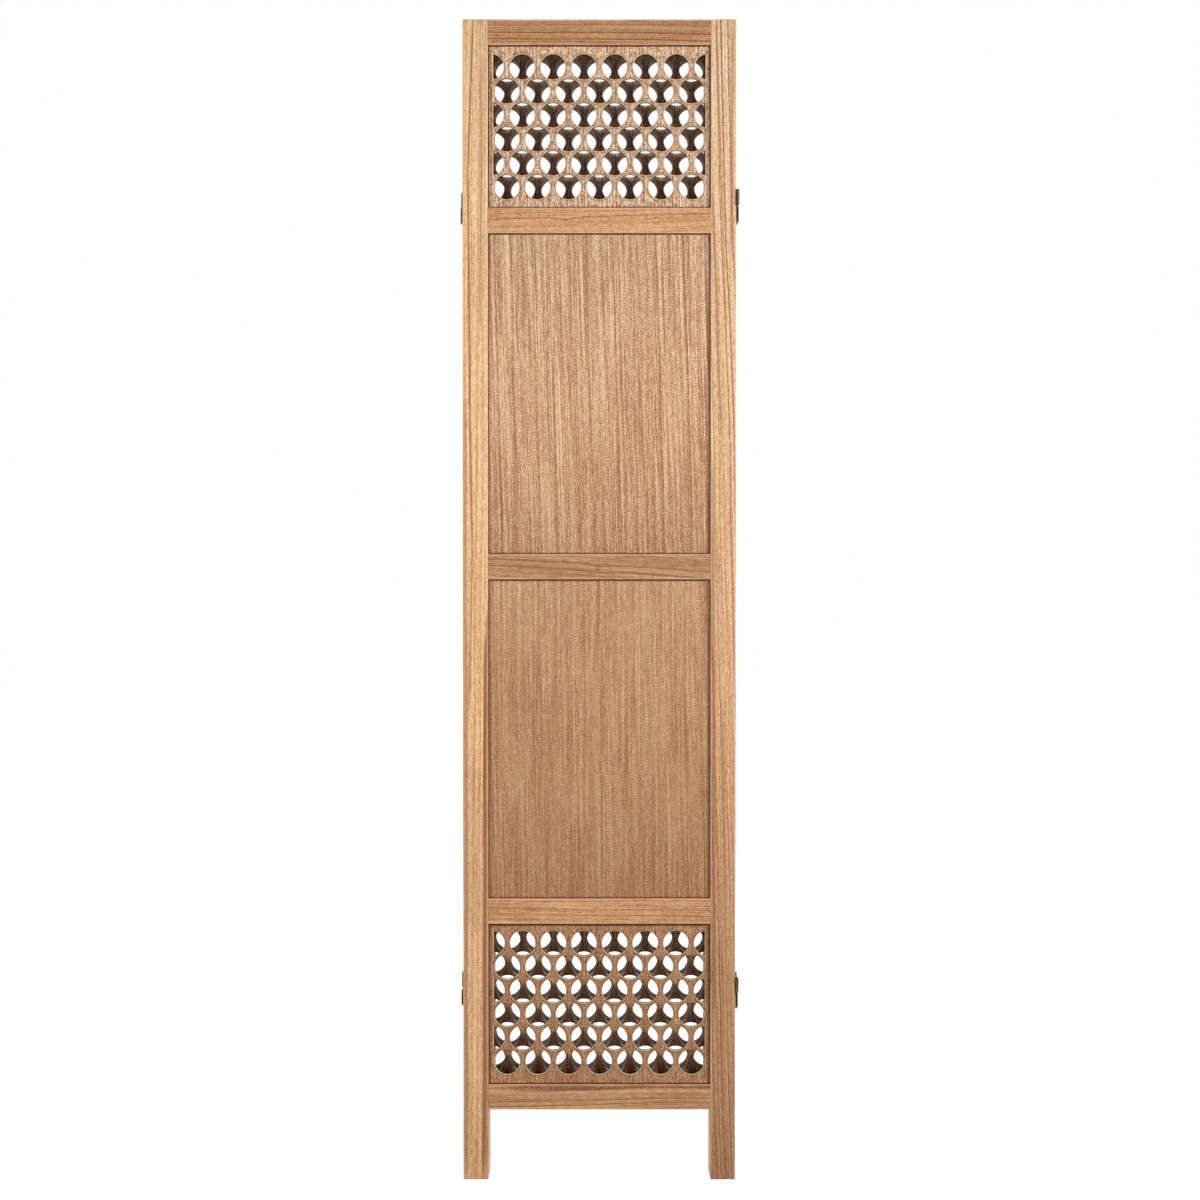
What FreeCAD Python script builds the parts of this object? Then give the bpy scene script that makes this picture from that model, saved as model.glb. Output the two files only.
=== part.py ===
import FreeCAD, Part
import math
import os

# Folding room divider of four pierced wooden panels, shown folded flat into a stack.
# The panels stand one behind the other along Y, and panel 1 is the front one, at the lowest Y.
# Z is up, X runs along the panels' width, and the origin lies on the floor under the middle of the
# stack's box. Neighbouring panels are joined by two-way hinges: a leaf on each panel's edge and a link
# plate between them, with a pin at each end of the link, so that a panel folds to either face.
# All lengths are in millimetres.

# Panels
panel_count = 4
panel_width = 400.0
panel_height = 1700.0
panel_thickness = 18.0
panel_gap = 1.0

# Frame members
stile_width = 37.0
rail_height = 37.0
leg_length = 103.0
lattice_opening_height = 237.0
stile_edge_radius = 1.2
rail_edge_radius = 0.8

# Grooves that hold the boards and the lattices, and the rails' stub tenons
infill_thickness = 9.0
groove_depth = 8.0
groove_end_clearance = 1.0
tenon_shoulder = 6.0

# Round holes of the lattices, and the wood left between two holes of a row, between two holes of
# neighbouring rows, and between the holes and the frame
hole_diameter = 36.5
row_web = 8.6
diagonal_web = 5.1
edge_web = 8.0
hole_edge_chamfer = 0.8

# How far the holes stand above the middle of their opening: in the lower lattice of the front panel, and
# in the lower lattices of the other panels, which are mounted the other way up
lower_field_rise = 1.8
flipped_lower_field_rise = 3.4

# Two-way hinges. The lower ones are placed from the floor up, the upper ones from the top down
hinge_height = 47.0
lower_hinge_rise = 275.0
upper_hinge_drop = 270.0
leaf_thickness = 1.2
leaf_corner_radius = 1.5
barrel_radius = 2.2
pin_radius = 1.2
pin_head_radius = 1.9
pin_head_height = 0.8
barrel_clearance = 0.3
pin_clearance = 0.05
knuckle_gap = 0.3
half_gap = 0.4

# Countersunk wood screws of the hinges
screw_length = 14.0
screw_tip_length = 3.0
screw_radius = 1.3
screw_head_radius = 2.5
screw_clearance = 0.05
screw_edge_distance = 8.0
slot_width = 0.6
slot_depth = 0.5

# How far a cutting tool runs past the face that it cuts
cut_overrun = 5.0

# Each seam joins panel N to panel N + 1. The front level is the face of the stack, counted from 0 at the
# front, at which the link's front pin stands. The front barrel lies in the hinge's upper or lower half,
# and the back barrel in the other, so that hinges on one side of the stack never share a place.
RIGHT = 1
LEFT = -1
SEAMS = [
    {"first_panel": 1, "side": RIGHT, "front_level": 0, "front_barrel_up": True},
    {"first_panel": 2, "side": LEFT, "front_level": 2, "front_barrel_up": False},
    {"first_panel": 3, "side": RIGHT, "front_level": 2, "front_barrel_up": False},
]

X_AXIS = FreeCAD.Vector(1, 0, 0)
Y_AXIS = FreeCAD.Vector(0, 1, 0)
Z_AXIS = FreeCAD.Vector(0, 0, 1)

# Sizes worked out from the ones above
half_width = panel_width / 2
opening_width = panel_width - 2 * stile_width
board_opening_height = (panel_height - leg_length - 2 * lattice_opening_height - 5 * rail_height) / 2
insert_depth = groove_depth - groove_end_clearance
stack_pitch = panel_thickness + panel_gap
stack_depth = (panel_count - 1) * stack_pitch + panel_thickness
front_barrel_reach = panel_gap / 2 + barrel_radius
stack_front = (front_barrel_reach - stack_depth) / 2
barrel_reach = barrel_radius + barrel_clearance
axis_offset = barrel_reach
hole_pitch = hole_diameter + row_web
row_pitch = math.sqrt((hole_diameter + diagonal_web) ** 2 - (hole_pitch / 2) ** 2)
hinge_heights = [lower_hinge_rise, panel_height - upper_hinge_drop]

# Undersides of the five rails, from the floor up
rail_lows = {
    "bottom_rail": leg_length,
    "lower_rail": leg_length + rail_height + lattice_opening_height,
    "middle_rail": leg_length + 2 * rail_height + lattice_opening_height + board_opening_height,
    "upper_rail": panel_height - 2 * rail_height - lattice_opening_height,
    "top_rail": panel_height - rail_height,
}


def panel_front(panel):
    """Y of the front face of panel 1, 2, 3 or 4."""
    return stack_front + (panel - 1) * stack_pitch


def level_y(level):
    """Y of a hinge axis: level 0 is just before panel 1, level N is in the gap behind panel N."""
    return stack_front + level * stack_pitch - panel_gap / 2


def box_between(low, high):
    """Box from its lowest to its highest corner, each given as (x, y, z)."""
    size = [top - bottom for bottom, top in zip(low, high)]
    return Part.makeBox(size[0], size[1], size[2], FreeCAD.Vector(*low))


def edges_along(shape, direction):
    """Straight edges of a shape that run along a direction."""
    return [edge for edge in shape.Edges if abs(edge.tangentAt(edge.FirstParameter).dot(direction)) > 0.99]


def eased_bar(low, high, direction, radius):
    """Bar whose long edges, along one direction, are rounded."""
    bar = box_between(low, high)
    return bar.makeFillet(radius, edges_along(bar, direction))


def save(name, solids):
    """Write one node, made of one or more separate solids."""
    shape = solids[0] if len(solids) == 1 else Part.makeCompound(solids)
    shape.exportStep("parts/" + name + ".step")


def groove_y(panel):
    """Lowest and highest Y of the groove and of what it holds, in the middle of the panel's thickness."""
    low = panel_front(panel) + (panel_thickness - infill_thickness) / 2
    return low, low + infill_thickness


def screw_heights(hinge_z):
    """Heights of a leaf's two screws."""
    reach = hinge_height / 2 - screw_edge_distance
    return [hinge_z - reach, hinge_z + reach]


def hinged_sides(panel):
    """Sides of a panel, RIGHT or LEFT, that carry hinge leaves."""
    return [seam["side"] for seam in SEAMS if panel in (seam["first_panel"], seam["first_panel"] + 1)]


def screw_places(panel, side):
    """Points on a panel's edge where its hinge screws go in."""
    y = panel_front(panel) + panel_thickness / 2
    heights = [z for hinge_z in hinge_heights for z in screw_heights(hinge_z)]
    return [FreeCAD.Vector(side * half_width, y, z) for z in heights]


def stile(panel, side):
    """Upright of a panel's frame, with its groove and its pilot holes. Its foot is the panel's leg."""
    outer = side * half_width
    inner = side * (half_width - stile_width)
    front = panel_front(panel)
    low = (min(outer, inner), front, 0)
    high = (max(outer, inner), front + panel_thickness, panel_height)
    body = eased_bar(low, high, Z_AXIS, stile_edge_radius)
    groove_low, groove_high = groove_y(panel)
    bottom = side * (half_width - stile_width + groove_depth)
    mouth = side * (half_width - stile_width - cut_overrun)
    groove = box_between((min(bottom, mouth), groove_low, leg_length + tenon_shoulder),
                         (max(bottom, mouth), groove_high, panel_height - tenon_shoulder))
    body = body.cut(groove)
    if side in hinged_sides(panel):
        depth = screw_length - leaf_thickness + screw_clearance
        for place in screw_places(panel, side):
            hole = Part.makeCylinder(screw_radius + screw_clearance, depth + cut_overrun,
                                     place + X_AXIS * side * cut_overrun, X_AXIS * -side)
            body = body.cut(hole)
    return body


def rail(panel, name):
    """Cross member between the stiles, with a stub tenon at each end and grooves for what it holds."""
    front = panel_front(panel)
    low_z = rail_lows[name]
    high_z = low_z + rail_height
    half = opening_width / 2
    corner = (half, front + panel_thickness, high_z)
    body = eased_bar((-half, front, low_z), corner, X_AXIS, rail_edge_radius)
    groove_low, groove_high = groove_y(panel)
    grooved_below = name != "bottom_rail"
    grooved_above = name != "top_rail"
    tenon_low = low_z + (groove_depth if grooved_below else tenon_shoulder)
    tenon_high = high_z - (groove_depth if grooved_above else tenon_shoulder)
    reach = half + insert_depth
    body = body.fuse(box_between((-reach, groove_low, tenon_low), (reach, groove_high, tenon_high)))
    if grooved_below:
        low = (-reach, groove_low, low_z - cut_overrun)
        body = body.cut(box_between(low, (reach, groove_high, tenon_low)))
    if grooved_above:
        high = (reach, groove_high, high_z + cut_overrun)
        body = body.cut(box_between((-reach, groove_low, tenon_high), high))
    return body.removeSplitter()


def infill(panel, low_z, height):
    """Thin board that fills an opening and sits in the grooves round it."""
    low_y, high_y = groove_y(panel)
    reach = opening_width / 2 + insert_depth
    top = low_z + height + insert_depth
    return box_between((-reach, low_y, low_z - insert_depth), (reach, high_y, top))


def fitting_count(span, size, pitch):
    """How many holes of one size fit a span at a pitch."""
    return 1 + math.floor((span - size) / pitch)


def hole_tools(low_y, opening_low_z, flipped, rise):
    """Cutting tools of one lattice: whole holes in one row, and one less with a half hole at each end in
    the next. A flipped lattice starts with the whole row at its top."""
    clear_width = opening_width - 2 * edge_web
    per_row = fitting_count(clear_width, hole_diameter, hole_pitch)
    rows = fitting_count(lattice_opening_height - 2 * (edge_web + rise), hole_diameter, row_pitch)
    field = box_between((-clear_width / 2, low_y - cut_overrun, opening_low_z),
                        (clear_width / 2, low_y + infill_thickness + cut_overrun,
                         opening_low_z + lattice_opening_height))
    top_row_z = opening_low_z + lattice_opening_height / 2 + rise + (rows - 1) * row_pitch / 2
    tools = []
    for row in range(rows):
        has_half_holes = (row % 2 == 0) != flipped
        count = per_row + 1 if has_half_holes else per_row
        for place in range(count):
            centre = FreeCAD.Vector((place - (count - 1) / 2) * hole_pitch, low_y - cut_overrun,
                                    top_row_z - row * row_pitch)
            tool = Part.makeCylinder(hole_diameter / 2, infill_thickness + 2 * cut_overrun, centre, Y_AXIS)
            is_half = has_half_holes and place in (0, count - 1)
            tools.append(tool.common(field) if is_half else tool)
    return tools


def lattice(panel, low_z, flipped, rise):
    """Thin board pierced with staggered rows of round holes, their edges broken on both faces."""
    board = infill(panel, low_z, lattice_opening_height)
    low_y, high_y = groove_y(panel)
    pierced = board.cut(Part.makeCompound(hole_tools(low_y, low_z, flipped, rise))).Solids[0]
    rims = []
    for face in pierced.Faces:
        if abs(face.normalAt(0, 0).y) > 0.99 and len(face.Wires) > 1:
            outline = face.OuterWire
            rims += [edge for wire in face.Wires if not wire.isSame(outline) for edge in wire.Edges]
    return pierced.makeChamfer(hole_edge_chamfer, rims)


def knuckle_spans(hinge_z, up):
    """Lowest and highest Z of a barrel's three knuckles, in the upper or the lower half of a hinge."""
    length = hinge_height / 2 - half_gap - 2 * pin_head_height
    offset = half_gap / 2 + pin_head_height
    low = hinge_z + offset if up else hinge_z - offset - length
    knuckle = (length - 2 * knuckle_gap) / 3
    starts = [low + index * (knuckle + knuckle_gap) for index in range(3)]
    return [(start, start + knuckle) for start in starts]


def axis_x(side):
    """X of the hinge axes on one side of the stack."""
    return side * (half_width + axis_offset)


def knuckle(side, y, span):
    """One knuckle before its bore is cut."""
    base = FreeCAD.Vector(axis_x(side), y, span[0])
    return Part.makeCylinder(barrel_radius, span[1] - span[0], base, Z_AXIS)


def bore(side, y, spans):
    """Tool for the bore through a barrel's knuckles."""
    base = FreeCAD.Vector(axis_x(side), y, spans[0][0] - cut_overrun)
    height = spans[-1][1] - spans[0][0] + 2 * cut_overrun
    return Part.makeCylinder(pin_radius + pin_clearance, height, base, Z_AXIS)


def hinge_plate(low_x, front_y, back_y, hinge_z):
    """Flat plate of a hinge, between two axes and clear of the barrels there, with rounded corners."""
    plate = box_between((low_x, front_y + barrel_reach, hinge_z - hinge_height / 2),
                        (low_x + leaf_thickness, back_y - barrel_reach, hinge_z + hinge_height / 2))
    return plate.makeFillet(leaf_corner_radius, edges_along(plate, X_AXIS))


def tongue(low_x, axis_y, plate_y, span):
    """Strip that runs from a plate's edge to the axis of the knuckle that it turns into."""
    return box_between((low_x, min(axis_y, plate_y), span[0]),
                       (low_x + leaf_thickness, max(axis_y, plate_y), span[1]))


def leaf(panel, side, level, up, hinge_z):
    """Leaf on a panel's edge, with the two outer knuckles of its barrel and two countersunk holes."""
    low_x = half_width if side == RIGHT else -half_width - leaf_thickness
    front_y = level_y(panel - 1)
    back_y = level_y(panel)
    axis_y = level_y(level)
    body = hinge_plate(low_x, front_y, back_y, hinge_z)
    spans = knuckle_spans(hinge_z, up)
    plate_y = (front_y + back_y) / 2
    for span in (spans[0], spans[2]):
        body = body.fuse(tongue(low_x, axis_y, plate_y, span))
        body = body.fuse(knuckle(side, axis_y, span))
    body = body.cut(bore(side, axis_y, spans))
    for z in screw_heights(hinge_z):
        seat = FreeCAD.Vector(side * half_width, panel_front(panel) + panel_thickness / 2, z)
        body = body.cut(screw_hole(seat, side))
    return body.removeSplitter()


def screw_hole(seat, side):
    """Countersunk hole through a leaf, for a screw whose axis meets the panel's edge at the seat."""
    hole = Part.makeCylinder(screw_radius + screw_clearance, leaf_thickness + 2 * cut_overrun,
                             seat - X_AXIS * side * cut_overrun, X_AXIS * side)
    cone = Part.makeCone(screw_radius + screw_clearance, screw_head_radius + screw_clearance, leaf_thickness,
                         seat, X_AXIS * side)
    return hole.fuse(cone)


def link(side, seam, hinge_z):
    """Link plate between two axes, with the middle knuckle of the barrel at each of them."""
    low_x = axis_x(side) - leaf_thickness / 2
    front_y = level_y(seam["front_level"])
    back_y = level_y(seam["front_level"] + 1)
    middle_y = (front_y + back_y) / 2
    body = hinge_plate(low_x, front_y, back_y, hinge_z)
    for axis_y, up in ((front_y, seam["front_barrel_up"]), (back_y, not seam["front_barrel_up"])):
        spans = knuckle_spans(hinge_z, up)
        body = body.fuse(tongue(low_x, axis_y, middle_y, spans[1]))
        body = body.fuse(knuckle(side, axis_y, spans[1]))
        body = body.cut(bore(side, axis_y, spans))
    return body.removeSplitter()


def pin(side, y, spans):
    """Hinge pin with a flat head at each end."""
    low = spans[0][0]
    length = spans[-1][1] - low
    x = axis_x(side)
    shaft = Part.makeCylinder(pin_radius, length, FreeCAD.Vector(x, y, low), Z_AXIS)
    lower_head = Part.makeCylinder(pin_head_radius, pin_head_height,
                                   FreeCAD.Vector(x, y, low - pin_head_height), Z_AXIS)
    upper_head = Part.makeCylinder(pin_head_radius, pin_head_height,
                                   FreeCAD.Vector(x, y, low + length), Z_AXIS)
    return shaft.fuse([lower_head, upper_head]).removeSplitter()


def screw(seat, side):
    """Countersunk wood screw, its head flush with the leaf, with a cross cut into the head."""
    inward = X_AXIS * -side
    top = seat + X_AXIS * side * leaf_thickness
    head = Part.makeCone(screw_head_radius, screw_radius, leaf_thickness, top, inward)
    shank_length = screw_length - leaf_thickness - screw_tip_length
    shank = Part.makeCylinder(screw_radius, shank_length, seat, inward)
    tip = Part.makeCone(screw_radius, 0, screw_tip_length, seat + inward * shank_length, inward)
    body = head.fuse([shank, tip])
    slot_reach = (screw_head_radius + screw_radius) / 2
    for half_y, half_z in ((slot_reach, slot_width / 2), (slot_width / 2, slot_reach)):
        inner_x = top.x - side * slot_depth
        outer_x = top.x + side * cut_overrun
        body = body.cut(box_between((min(inner_x, outer_x), top.y - half_y, top.z - half_z),
                                    (max(inner_x, outer_x), top.y + half_y, top.z + half_z)))
    return body.removeSplitter()


def make_panel(panel):
    """Frame, boards, lattices and hinge screws of one panel. The front panel's lattices are mounted one
    way up and the others' the other way up, so that seen through each other their holes are staggered."""
    prefix = "panel_" + str(panel) + "_"
    save(prefix + "left_stile", [stile(panel, LEFT)])
    save(prefix + "right_stile", [stile(panel, RIGHT)])
    for name in rail_lows:
        save(prefix + name, [rail(panel, name)])
    flipped = panel != 1
    rise = flipped_lower_field_rise if flipped else lower_field_rise
    save(prefix + "lower_lattice", [lattice(panel, rail_lows["bottom_rail"] + rail_height, flipped, rise)])
    save(prefix + "upper_lattice", [lattice(panel, rail_lows["upper_rail"] + rail_height, flipped, 0)])
    for name, rail_below in (("lower_board", "lower_rail"), ("upper_board", "middle_rail")):
        save(prefix + name, [infill(panel, rail_lows[rail_below] + rail_height, board_opening_height)])
    screws = [screw(place, side) for side in hinged_sides(panel) for place in screw_places(panel, side)]
    save(prefix + "hinge_screws", screws)


def make_seam(seam):
    """The two hinges between a pair of panels: their leaves, links and pins."""
    side = seam["side"]
    first = seam["first_panel"]
    level = seam["front_level"]
    up = seam["front_barrel_up"]
    prefix = "hinge_" + str(first) + "_" + str(first + 1) + "_"
    save(prefix + "first_leaves", [leaf(first, side, level, up, z) for z in hinge_heights])
    save(prefix + "second_leaves", [leaf(first + 1, side, level + 1, not up, z) for z in hinge_heights])
    save(prefix + "links", [link(side, seam, z) for z in hinge_heights])
    pins = [pin(side, level_y(pin_level), knuckle_spans(z, pin_up))
            for z in hinge_heights
            for pin_level, pin_up in ((level, up), (level + 1, not up))]
    save(prefix + "pins", pins)


os.makedirs("parts", exist_ok=True)
for panel_number in range(1, panel_count + 1):
    make_panel(panel_number)
for seam_values in SEAMS:
    make_seam(seam_values)
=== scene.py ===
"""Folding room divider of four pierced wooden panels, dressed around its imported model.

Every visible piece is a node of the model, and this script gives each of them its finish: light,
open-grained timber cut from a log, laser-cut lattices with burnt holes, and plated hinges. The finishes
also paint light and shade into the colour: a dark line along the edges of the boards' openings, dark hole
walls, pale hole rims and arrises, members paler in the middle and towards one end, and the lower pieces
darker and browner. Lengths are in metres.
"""

import logging
import math
from dataclasses import dataclass, replace
from enum import Enum
from typing import Optional, Union

import bpy
import numpy as np
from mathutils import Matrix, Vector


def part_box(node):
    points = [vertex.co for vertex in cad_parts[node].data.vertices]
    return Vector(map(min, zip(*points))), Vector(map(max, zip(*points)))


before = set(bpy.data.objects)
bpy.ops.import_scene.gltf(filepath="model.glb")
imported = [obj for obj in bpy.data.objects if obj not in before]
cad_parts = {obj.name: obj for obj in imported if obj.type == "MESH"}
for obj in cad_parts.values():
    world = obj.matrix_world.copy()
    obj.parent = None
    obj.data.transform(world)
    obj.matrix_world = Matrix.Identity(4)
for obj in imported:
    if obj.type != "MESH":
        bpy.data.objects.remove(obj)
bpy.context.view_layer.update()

logging.basicConfig(level=logging.INFO, format="%(message)s")
log = logging.getLogger("room_divider")

Colour = tuple[float, float, float]
Point = tuple[float, float, float]
Socket = bpy.types.NodeSocket
Value = Union[float, Socket]

PANEL_COUNT = 4


class Grain(Enum):
    """Direction in which a member's fibres run."""

    VERTICAL = "vertical"
    HORIZONTAL = "horizontal"


def srgb(red: int, green: int, blue: int) -> Colour:
    """Linear colour of a screen colour.

    Args:
        red: Red from 0 to 255.
        green: Green from 0 to 255.
        blue: Blue from 0 to 255.

    Returns:
        The three linear values, by the usual screen curve.
    """
    values = []
    for channel in (red, green, blue):
        share = channel / 255
        values.append(share / 12.92 if share <= 0.04045 else ((share + 0.055) / 1.055) ** 2.4)
    return tuple(values)


@dataclass(frozen=True)
class Cells:
    """Fineness of a noise.

    Attributes:
        across: Cells in a metre across the fibres.
        along: Cells in a metre along the fibres.
        detail: Octaves of finer noise.
    """

    across: float
    along: float
    detail: float


class Graph:
    """Node tree of a material or a world, with a short method for each thing that its nodes work out."""

    NOISE_GAIN = 5.0

    def __init__(self, owner: Union[bpy.types.Material, bpy.types.World]) -> None:
        """Starts an empty tree.

        Args:
            owner: Material or world that the tree belongs to.
        """
        self.owner = owner
        owner.use_nodes = True
        self.tree = owner.node_tree
        self.tree.nodes.clear()

    def node(self, kind: str, inputs: dict[Union[int, str], object], **settings: object) -> bpy.types.Node:
        """Adds a node.

        Args:
            kind: Node type without its ShaderNode prefix.
            inputs: Output socket, number or colour for each input that is fed, by its name or number.
            settings: Properties to set on the node.

        Returns:
            The new node.
        """
        made = self.tree.nodes.new("ShaderNode" + kind)
        for key, value in settings.items():
            setattr(made, key, value)
        for key, value in inputs.items():
            socket = made.inputs[key]
            if isinstance(value, Socket):
                self.tree.links.new(value, socket)
            elif socket.type == "RGBA":
                socket.default_value = (*value, 1.0)
            else:
                socket.default_value = value
        return made

    def math(self, operation: str, *numbers: Value) -> Socket:
        """Result of one step of arithmetic, by Blender's name of the operation."""
        return self.node("Math", dict(enumerate(numbers)), operation=operation).outputs[0]

    def add(self, first: Value, second: Value) -> Socket:
        """Sum of two numbers."""
        return self.math("ADD", first, second)

    def minus(self, first: Value, second: Value) -> Socket:
        """Difference of two numbers."""
        return self.math("SUBTRACT", first, second)

    def times(self, first: Value, second: Value) -> Socket:
        """Product of two numbers."""
        return self.math("MULTIPLY", first, second)

    def scaled(self, value: Value, factor: Value, start: Value) -> Socket:
        """Start plus a factor times a number."""
        return self.math("MULTIPLY_ADD", value, factor, start)

    def absolute(self, value: Value) -> Socket:
        """Number without its sign."""
        return self.math("ABSOLUTE", value)

    def length(self, first: Value, second: Value) -> Socket:
        """Root of the sum of two squares: a distance from its two parts."""
        return self.math("SQRT", self.add(self.times(first, first), self.times(second, second)))

    def about_one(self, noise: Socket, depth: float) -> Socket:
        """Factor that swings about 1 by the depth, with the noise's small swing about a half made larger."""
        gain = self.NOISE_GAIN * depth
        return self.scaled(noise, gain, 1 - gain / 2)

    def step(self, value: Value, low: float, high: float, start: float = 0.0, end: float = 1.0) -> Socket:
        """Smooth step of a value.

        Args:
            value: Number to map.
            low: Value at which the step begins.
            high: Value at which it ends, which may be below the first.
            start: Result before the step.
            end: Result after it.

        Returns:
            The mapped number.
        """
        inputs = {"Value": value, "From Min": low, "From Max": high, "To Min": start, "To Max": end}
        return self.node("MapRange", inputs, interpolation_type="SMOOTHSTEP").outputs["Result"]

    def vector(self, x: Value, y: Value, z: Value) -> Socket:
        """Vector of three numbers."""
        return self.node("CombineXYZ", {0: x, 1: y, 2: z}).outputs[0]

    def parts(self, vector: Socket) -> tuple[Socket, Socket, Socket]:
        """The three numbers of a vector."""
        return tuple(self.node("SeparateXYZ", {0: vector}).outputs)

    def stretch(self, vector: Socket, factors: tuple[float, float, float]) -> Socket:
        """Vector with each part multiplied by its own factor."""
        return self.node("VectorMath", {0: vector, 1: factors}, operation="MULTIPLY").outputs[0]

    def noise(self, vector: Socket, cells: Cells) -> Socket:
        """Smooth noise from 0 to 1 at a place whose third part runs along the fibres."""
        place = self.stretch(vector, (cells.across, cells.across, cells.along))
        return self.node("TexNoise", {"Vector": place, "Scale": 1.0, "Detail": cells.detail}).outputs["Fac"]

    def mix(self, factor: Value, first: object, second: object) -> Socket:
        """Blend of two colours or their sockets, by the share of the second one."""
        return self.node("Mix", {0: factor, 6: first, 7: second}, data_type="RGBA").outputs[2]

    def shade(self, colour: Socket, factor: Socket) -> Socket:
        """Colour multiplied by a number."""
        return self.node("VectorMath", {0: colour, "Scale": factor}, operation="SCALE").outputs[0]

    def place(self) -> Socket:
        """Place on the piece in its own coordinates."""
        return self.node("TexCoord", {}).outputs["Object"]

    def seen_white(self) -> Socket:
        """Sorts out the rays that have to find white surroundings.

        Returns:
            1 for rays from the camera, in gloss and through glass, and 0 for the rest.
        """
        path = self.node("LightPath", {}).outputs
        seen = self.math("MAXIMUM", path["Is Camera Ray"], path["Is Glossy Ray"])
        return self.math("MAXIMUM", seen, path["Is Transmission Ray"])

    def surface(self, colour: Socket, roughness: Value, height: Socket, depth: float,
                constants: dict[str, float]) -> bpy.types.Material:
        """Ends the material in one glossy surface shader.

        Args:
            colour: Base colour.
            roughness: Roughness or its socket.
            height: Height of the relief.
            depth: Length that a height of 1 stands for.
            constants: Values to set on the shader's own sockets.

        Returns:
            The finished material.
        """
        bump = self.node("Bump", {"Distance": depth, "Height": height}).outputs["Normal"]
        inputs = {"Base Color": colour, "Roughness": roughness, "Normal": bump, **constants}
        shader = self.node("BsdfPrincipled", inputs)
        self.node("OutputMaterial", {"Surface": shader.outputs[0]})
        return self.owner


@dataclass(frozen=True)
class Spot:
    """Place on a wooden member, measured from the member's middle.

    Attributes:
        graph: Node tree of the member's material.
        across: Across the fibres, in the panel's face.
        through: Through the thickness.
        along: Along the fibres.
    """

    graph: Graph
    across: Socket
    through: Socket
    along: Socket

    def vector(self) -> Socket:
        """The three numbers as a vector."""
        return self.graph.vector(self.across, self.through, self.along)


@dataclass(frozen=True)
class Streak:
    """Long dark line in a member's face, which drifts from one side to another as it goes down.

    Attributes:
        top: Across and along place of its upper end.
        bottom: Across and along place of its lower end.
        width: Width of the line.
        strength: Share of the latewood's brown in it.
    """

    top: tuple[float, float]
    bottom: tuple[float, float]
    width: float
    strength: float

    SOFT_EDGE_SHARES = (0.25, 0.75)
    FADE = 0.03

    def brown(self, spot: Spot) -> Socket:
        """Share of brown at a place. The line's middle runs straight between its two ends.

        Args:
            spot: Place on the member.

        Returns:
            The share.
        """
        graph = spot.graph
        (top_across, top_along), (low_across, low_along) = self.top, self.bottom
        slope = (top_across - low_across) / (top_along - low_along)
        middle = graph.scaled(graph.minus(spot.along, low_along), slope, low_across)
        away = graph.absolute(graph.minus(spot.across, middle))
        full, none = (self.width * share for share in self.SOFT_EDGE_SHARES)
        body = graph.step(away, full, none, 1.0, 0.0)
        body = graph.times(body, graph.step(spot.along, low_along - self.FADE, low_along + self.FADE))
        body = graph.times(body, graph.step(spot.along, top_along + self.FADE, top_along - self.FADE))
        return graph.times(body, self.strength)


@dataclass(frozen=True)
class Knot:
    """Small knot in a member's face, round which the growth rings bend.

    Attributes:
        across: Place across the fibres.
        along: Place along the fibres.
        radius: Radius of its dark eye.
    """

    across: float
    along: float
    radius: float

    LENGTH_TO_WIDTH = 2.2
    REACH_TO_RADIUS = 5
    PUSH_TO_RADIUS = 2
    DARKNESS = 0.62

    def bell(self, spot: Spot, reach: float) -> Socket:
        """Bell round the knot: e to the power of minus the squared distance over the squared reach.

        Args:
            spot: Place on the member.
            reach: Distance across the fibres at which the bell has sunk to 1 / e.

        Returns:
            The bell's height.
        """
        graph = spot.graph
        from_across = graph.math("DIVIDE", graph.minus(spot.across, self.across), reach)
        from_along = graph.math("DIVIDE", graph.minus(spot.along, self.along), self.LENGTH_TO_WIDTH * reach)
        square = graph.add(graph.times(from_across, from_across), graph.times(from_along, from_along))
        return graph.math("EXPONENT", graph.times(square, -1.0))

    def push(self, spot: Spot) -> Socket:
        """How far the knot pushes the rings aside."""
        bell = self.bell(spot, self.REACH_TO_RADIUS * self.radius)
        return spot.graph.times(bell, self.PUSH_TO_RADIUS * self.radius)

    def eye(self, spot: Spot) -> Socket:
        """Light left by the knot's dark eye."""
        return spot.graph.scaled(self.bell(spot, self.radius), -self.DARKNESS, 1.0)


@dataclass(frozen=True)
class Cut:
    """Where a member was cut from its log.

    Attributes:
        pith_across: How far the log's middle lies from the member's, across the fibres.
        pith_through: The same through the member's thickness.
        seed: Place along the log, which makes every member's figure different.
        tone: Factor on the member's colour.
        tint: Factors on its red, green and blue.
        painted_light_lean: Painted light: how much paler its upper or right end is than its middle.
        painted_light_bow: Painted light: how much paler its middle is than its two ends.
        painted_shade_warmth: Painted shade: how much blue its lower or left end loses, and its green half as
            much.
        slope: How far the fibres stray across the member on the way along it, as a share of that way.
        contrast: Factor on the strength of its strokes.
        lines: Factor on the strength of its growth lines.
        curl: Factor on the strength of its curl.
        streaks: Dark lines of its own.
        knots: Knots of its own.
    """

    pith_across: float
    pith_through: float
    seed: float
    tone: float = 1.0
    tint: Colour = (1.0, 1.0, 1.0)
    painted_light_lean: float = 0.0
    painted_light_bow: float = 0.0
    painted_shade_warmth: float = 0.0
    slope: float = 0.0
    contrast: float = 1.0
    lines: float = 1.0
    curl: float = 1.0
    streaks: tuple[Streak, ...] = ()
    knots: tuple[Knot, ...] = ()


@dataclass(frozen=True)
class Sawing:
    """Way in which a log is sawn, by where its middle may lie from a member's.

    Attributes:
        across: Least and greatest distance across the fibres, on either side.
        through: Least and greatest distance through the thickness.
    """

    across: tuple[float, float]
    through: tuple[float, float]


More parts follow.
